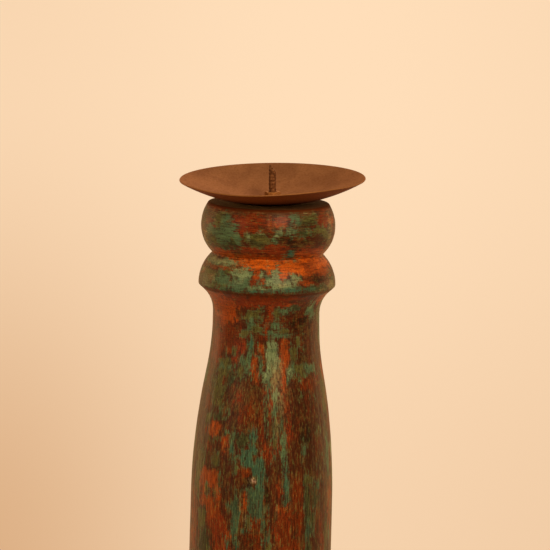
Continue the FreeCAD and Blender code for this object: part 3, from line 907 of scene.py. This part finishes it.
def dent_rim(piece, angle, radius):
    """Bends the rim down left of its front and up right of it, as it is in the photograph."""
    places = np.empty(len(angle) * 3)
    piece.data.vertices.foreach_get("co", places)
    down = np.clip(1 - ((angle + 22) / 36) ** 2, 0, 1) ** 2
    up = np.clip(1 - ((angle - 38) / 32) ** 2, 0, 1) ** 2
    places[2::3] += fade(radius, 20, 53) ** 2 * (0.5 * up - 0.9 * down) * MM
    piece.data.vertices.foreach_set("co", places)
    normals = np.empty(len(angle) * 3)
    piece.data.vertices.foreach_get("normal", normals)
    set_number(piece, "under_share", fade(normals[2::3], -0.25, -0.5))


dent_rim(pan, pan_angle, pan_r)


def pan_iron():
    """Copper-brown sheet with spun rings, a painted highlight along the rim and painted shade on the
    underside, darkest towards the middle.
    """
    shader = Shader("pan_iron")
    where = shader.position()
    cloud = shader.noise(where, 0.045, 4.0, 0.6, 0.3)
    fine = shader.noise(where, 0.9)
    radius = shader.from_axis()
    spun = shader.add("ShaderNodeCombineXYZ", {0: radius, 1: shader.parts(where)[0] * 0.02})
    rings = shader.noise(spun, 1.4, 2.0, 0.5)
    color = shader.mix(shader.ramp(cloud, 0.34, 0.66), tone(126, 78, 44), tone(147, 95, 56))
    color = shader.mix(shader.ramp(fine, 0.45, 0.75, 0.0, 0.35), color, tone(96, 50, 20))
    # Painted highlight: a lighter line along the rim's edge
    edge = shader.ramp(radius, pan_rim_radius - 1.2, pan_rim_radius - 0.3)
    color = shader.mix(edge * 0.4, color, tone(150, 92, 42))
    # Painted shade on the underside, darkest towards the middle
    shadowed = shader.mix(shader.ramp(radius, 27, 50), tone(46, 19, 6), tone(104, 50, 16))
    color = shader.mix(shader.attribute("under_share"), color, shadowed)
    rough = shader.ramp(fine, 0.3, 0.7, 0.56, 0.72)
    bumps = shader.relief(rings * 0.6 + fine * 0.5, 0.4, 0.12)
    return shader.end(shader.surface(color, rough, bumps, 0.3, 0.12, tone(255, 170, 76)))


def rusted_iron(name, dark, light):
    """Dark rust with lighter clouds, and painted shade that darkens the left side."""
    shader = Shader(name)
    where = shader.position()
    cloud = shader.noise(where, 0.7, 4.0, 0.65)
    fine = shader.noise(where, 3.2)
    color = shader.mix(shader.ramp(cloud, 0.35, 0.62), dark, light)
    color = shader.mix(shader.ramp(fine, 0.5, 0.72, 0.0, 0.5), color, dark)
    # Painted shade: darker towards the left side
    color = shader.mix(shader.ramp(shader.parts(where)[0], -0.4, -1.7, 0.0, 0.6), color, dark)
    rough = shader.ramp(fine, 0.3, 0.7, 0.5, 0.7)
    bumps = shader.relief(cloud + fine * 0.6, 0.6, 0.15)
    return shader.end(shader.surface(color, rough, bumps, 0.2, 0.3, tone(255, 176, 96)))


PAN_IRON = pan_iron()
SPIKE_IRON = rusted_iron("spike_iron", tone(72, 37, 16), tone(126, 74, 38))
NUT_IRON = rusted_iron("nut_iron", tone(132, 76, 32), tone(166, 104, 50))
pan.matrix_world = PAN_PLACE
dress(pan, "drip_pan", PAN_IRON)


# Spike
nut_bottom = pan_thickness + washer_thickness
nut_top = nut_bottom + nut_height
thread_pitch = 2.06
thread_depth = 0.28
tang_tip_radius = 0.4
nut_corner = nut_flats / 2 / math.cos(math.pi / 6)


def spike_relief(angle, radius, height):
    """A worn thread above the nut, plain below it."""
    threaded = fade(height, nut_top, nut_top + 0.6) * np.clip(radius / spike_radius, 0, 1)
    groove = 0.5 - 0.5 * np.cos(2 * np.pi * (height / thread_pitch - angle / 360))
    worn = 0.75 + 0.25 * ripple(51, angle, height, 5, 3)
    rough = 0.05 * ripple(52, angle, height, 9, 0.7)
    return threaded * (-thread_depth * worn * groove ** 2 + rough)


spike_line = straight(
    (0, spike_height), (spike_radius, spike_height), (spike_radius, tang_point_length - tang_length),
    (tang_tip_radius, -tang_length), (0, -tang_length)
)
spike_line = softened(spike_line, 0.1, coarse=0.2, fine=0.1, hidden_below=0)
spike = turned_mesh("threaded_spike", spike_line, 72, spike_relief)[0]


def file_point(piece):
    """Cuts the four filed faces of the point, which meets its tip to one side."""
    shape = bmesh.new()
    shape.from_mesh(piece.data)
    spread, tip = spike_radius + spike_point_spread, spike_tip_width / 2
    for x, y in ((1, 0), (-1, 0), (0, 1), (0, -1)):
        low = Vector((x * spread, y * spread, spike_height - spike_point_length))
        high = Vector((x * tip - spike_tip_offset, y * tip, spike_height))
        cut = bmesh.ops.bisect_plane(
            shape, geom=shape.verts[:] + shape.edges[:] + shape.faces[:], dist=1e-7,
            plane_co=low * MM, plane_no=Vector((-y, x, 0)).cross(high - low), clear_outer=True
        )
        rim = [item for item in cut["geom_cut"] if isinstance(item, bmesh.types.BMEdge)]
        bmesh.ops.triangle_fill(shape, edges=rim, use_beauty=True)
    bmesh.ops.recalc_face_normals(shape, faces=shape.faces)
    shape.to_mesh(piece.data)
    shape.free()
    piece.data.shade_smooth()
    piece.data.set_sharp_from_angle(angle=math.radians(48))


file_point(spike)
spike.matrix_world = PAN_PLACE
dress(spike, "pricket_spike", SPIKE_IRON)


# Nut and washer
def ring_outline(outer, inner, low, high):
    return straight((inner, high), (outer, high), (outer, low), (inner, low))


def nut_relief(angle, radius, height):
    """Flattens the six sides and turns off the corners at both ends."""
    turn = np.radians((angle + 30) % 60 - 30)
    flat = nut_flats / 2 / np.cos(turn)
    from_end = np.minimum(nut_top - height, height - nut_bottom)
    cone = nut_flats / 2 + from_end / math.tan(math.radians(30))
    outside = radius > (nut_flats / 2 + spike_radius) / 2
    limit = np.minimum(np.minimum(flat, cone), nut_corner)
    return np.where(outside, np.minimum(limit - radius, 0), 0)


def iron_ring(name, node, line, around, shift=None):
    """A turned ring on the pan's own axis."""
    line = softened(line, 0.12, closed=True, coarse=0.3, fine=0.12)
    ring = turned_mesh(name, line, around, shift, closed=True)[0]
    ring.matrix_world = PAN_PLACE
    dress(ring, node, NUT_IRON)


nut_line = ring_outline(nut_corner, spike_radius + 0.05, nut_bottom, nut_top)
iron_ring("rusted_nut", "spike_nut", nut_line, 96, nut_relief)
washer_line = ring_outline(washer_radius, hole_radius, pan_thickness, nut_bottom)
iron_ring("rusted_washer", "spike_washer", washer_line, 72)


# Cork and the hidden screw
def pressed_cork():
    shader = Shader("pressed_cork")
    cells = shader.add("ShaderNodeTexVoronoi", {"Vector": shader.position(), "Scale": 0.55}, "Color")
    fine = shader.noise(shader.position(), 2.0)
    color = shader.mix(cells, tone(150, 108, 66), tone(196, 152, 104))
    color = shader.mix(shader.ramp(fine, 0.55, 0.7), color, tone(92, 60, 34))
    return shader.end(shader.surface(color, 0.9, shader.relief(fine, 0.7, 0.3), 0.0, 0.2))


def zinc_steel():
    shader = Shader("zinc_steel")
    cloud = shader.noise(shader.position(), 0.5, 4.0)
    color = shader.mix(shader.ramp(cloud, 0.35, 0.65), tone(150, 150, 146), tone(190, 188, 178))
    return shader.end(shader.surface(color, shader.ramp(cloud, 0.3, 0.7, 0.28, 0.45), None, 1.0))


def cork_relief(angle, radius, height):
    """Crumbs at the disc's edge."""
    return 0.12 * ripple(61, angle, height, 180, 0.8) * (radius > cork_radius - 2)


cork_line = straight((0, cork_thickness), (cork_radius, cork_thickness), (cork_radius, 0), (0, 0))
cork = turned_mesh("cork_disc", softened(cork_line, 0.2, coarse=1.4), 240, cork_relief)[0]
dress(cork, "cork_pad", pressed_cork())

ZINC = zinc_steel()
for node in ("foot_screw", "foot_screw_washer"):
    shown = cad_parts[node]
    shown.data.materials.clear()
    shown.data.materials.append(ZINC)


# Floor, background, lamps and camera
BACKGROUND_LIGHT = tone(255, 222, 185)
BACKGROUND_DARK = tone(219, 174, 131)
REFLECTED_FRONT = (0.08, 0.048, 0.024, 1.0)
REFLECTED_BACK = (1.0, 0.62, 0.28, 1.0)
AMBIENT_BELOW = (0.10, 0.088, 0.068, 1.0)
AMBIENT_ABOVE = (0.41, 0.37, 0.30, 1.0)
AMBIENT_BACK = (1.0, 0.70, 0.40, 1.0)
FLOOR_RADIUS = 0.82


def floor_material():
    """Pale all over, and clear towards its edge."""
    shader = Shader("pale_floor")
    solid = shader.surface(tone(236, 216, 190), 0.7, None, 0.0, 0.2)
    clear = shader.add("ShaderNodeBsdfTransparent", {})
    fading = shader.ramp(shader.from_axis(), 380, 800)
    return shader.end(shader.add("ShaderNodeMixShader", {0: fading, 1: solid, 2: clear}))


floor_mesh = bpy.data.meshes.new("floor")
shape = bmesh.new()
bmesh.ops.create_circle(shape, cap_ends=True, segments=96, radius=FLOOR_RADIUS)
shape.to_mesh(floor_mesh)
shape.free()
floor = put("floor", floor_mesh)
floor.data.materials.append(floor_material())


def room():
    """Peach background for the camera with painted shade towards the bottom and the left, a dimmer room in
    reflections, soft warm light elsewhere.
    """
    world = bpy.data.worlds.new("room")
    bpy.context.scene.world = world
    sky = Nodes(world, "ShaderNodeOutputWorld")
    x, y, z = sky.parts(sky.add("ShaderNodeTexCoord", {}, "Generated"))
    down = sky.ramp(z, -0.112, -0.182)
    left = sky.ramp(x, 0.004, -0.044)
    right = sky.ramp(x, 0.01, 0.05)
    shade = down * 0.3 + left * (down * 0.5 + 0.18) + right * 0.12
    peach = sky.mix(shade, BACKGROUND_LIGHT, BACKGROUND_DARK)
    reflected = sky.mix(sky.ramp(y, -0.25, 0.7), REFLECTED_FRONT, REFLECTED_BACK)
    ambient = sky.mix(sky.ramp(z, -0.5, 0.7), AMBIENT_BELOW, AMBIENT_ABOVE)
    ambient = sky.mix(sky.ramp(y, 0.0, 0.8) * 0.55, ambient, AMBIENT_BACK)
    kinds = ("Is Camera Ray", "Is Transmission Ray", "Is Glossy Ray")
    to_camera, through, glossy = (sky.add("ShaderNodeLightPath", {}, kind) for kind in kinds)
    color = sky.mix(glossy, ambient, reflected)
    color = sky.mix(sky.math("MAXIMUM", to_camera, through), color, peach)
    sky.end(sky.add("ShaderNodeBackground", {"Color": color, "Strength": 1.0}))


room()


# Name, place and size in metres, power in watts, colour
LAMPS = (
    ("key", (1.1, -2.3, 1.7), 0.8, 62, (1.0, 0.95, 0.87)),
    ("fill", (-2.2, -1.5, 0.9), 1.4, 19.5, (1.0, 0.9, 0.74)),
    ("back", (0.6, 2.4, 1.9), 1.2, 11, (1.0, 0.76, 0.46)),
    ("left_rim", (-1.6, 1.1, 0.25), 0.5, 5.2, (1.0, 0.66, 0.32)),
    ("right_rim", (1.6, 1.1, 0.25), 0.5, 3.2, (1.0, 0.66, 0.32)),
)
lit_place = Vector((0, 0, 0.3))
for name, place, size, power, color in LAMPS:
    light = bpy.data.lights.new(name, "AREA")
    light.color = color
    light.size = size
    light.energy = power
    lamp = put(name, light)
    lamp.location = place
    lamp.rotation_euler = (lit_place - lamp.location).to_track_quat("-Z", "Y").to_euler()

# The camera stands level with the photograph's: 8 degrees down, rolled a little
camera_distance = 4.0
camera_elevation = math.radians(8.0)
camera_roll = math.radians(1.43)
camera_lens = 459.3
axis_left_of_middle = 4.6
aim_below_wood_top = 41.7

aim = Vector((axis_left_of_middle, 0, WOOD_TOP - aim_below_wood_top)) * MM
turn = Matrix.Rotation(math.pi / 2 - camera_elevation, 4, "X") @ Matrix.Rotation(camera_roll, 4, "Z")
camera_data = bpy.data.cameras.new("camera")
camera_data.lens = camera_lens
camera_data.sensor_width = 36
camera_data.clip_end = 30
camera = put("camera", camera_data)
camera.matrix_world = Matrix.Translation(aim) @ turn @ Matrix.Translation((0, 0, camera_distance))
bpy.context.scene.camera = camera
bpy.context.scene.view_settings.view_transform = "Standard"
